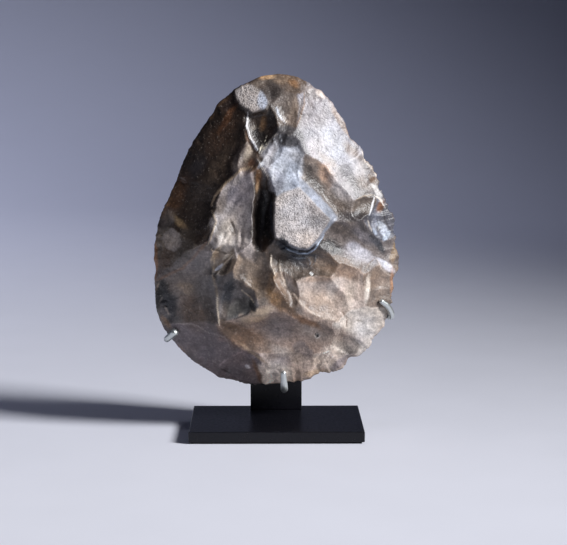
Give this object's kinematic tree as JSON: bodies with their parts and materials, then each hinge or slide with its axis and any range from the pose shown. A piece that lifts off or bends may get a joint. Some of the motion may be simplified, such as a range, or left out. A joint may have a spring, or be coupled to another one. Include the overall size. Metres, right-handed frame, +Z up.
{
  "type": "stone hand axe",
  "caption": "Flaked flint hand axe held upright by three bent metal prongs on a flat post and a small dark plate.",
  "frame": {"origin": "middle of the stand's underside, on the surface it stands on", "axes": "+Z up, -Y out of the worked front face towards the viewer, +X to the viewer's right"},
  "size_m": [0.0925, 0.05, 0.1354],
  "materials": {
    "flint": "flaked flint, satin on fresh scars, dull and grainy on the old crust",
    "black_metal": "satin black paint",
    "pad": "matt",
    "prong_steel": "satin"
  },
  "bodies": {
    "root": {"hand_axe": "flint", "base_plate": "black_metal", "base_pad": "pad", "post": "black_metal", "prong_left": "prong_steel", "prong_right": "prong_steel", "prong_bottom": "prong_steel"}
  },
  "joints": []
}
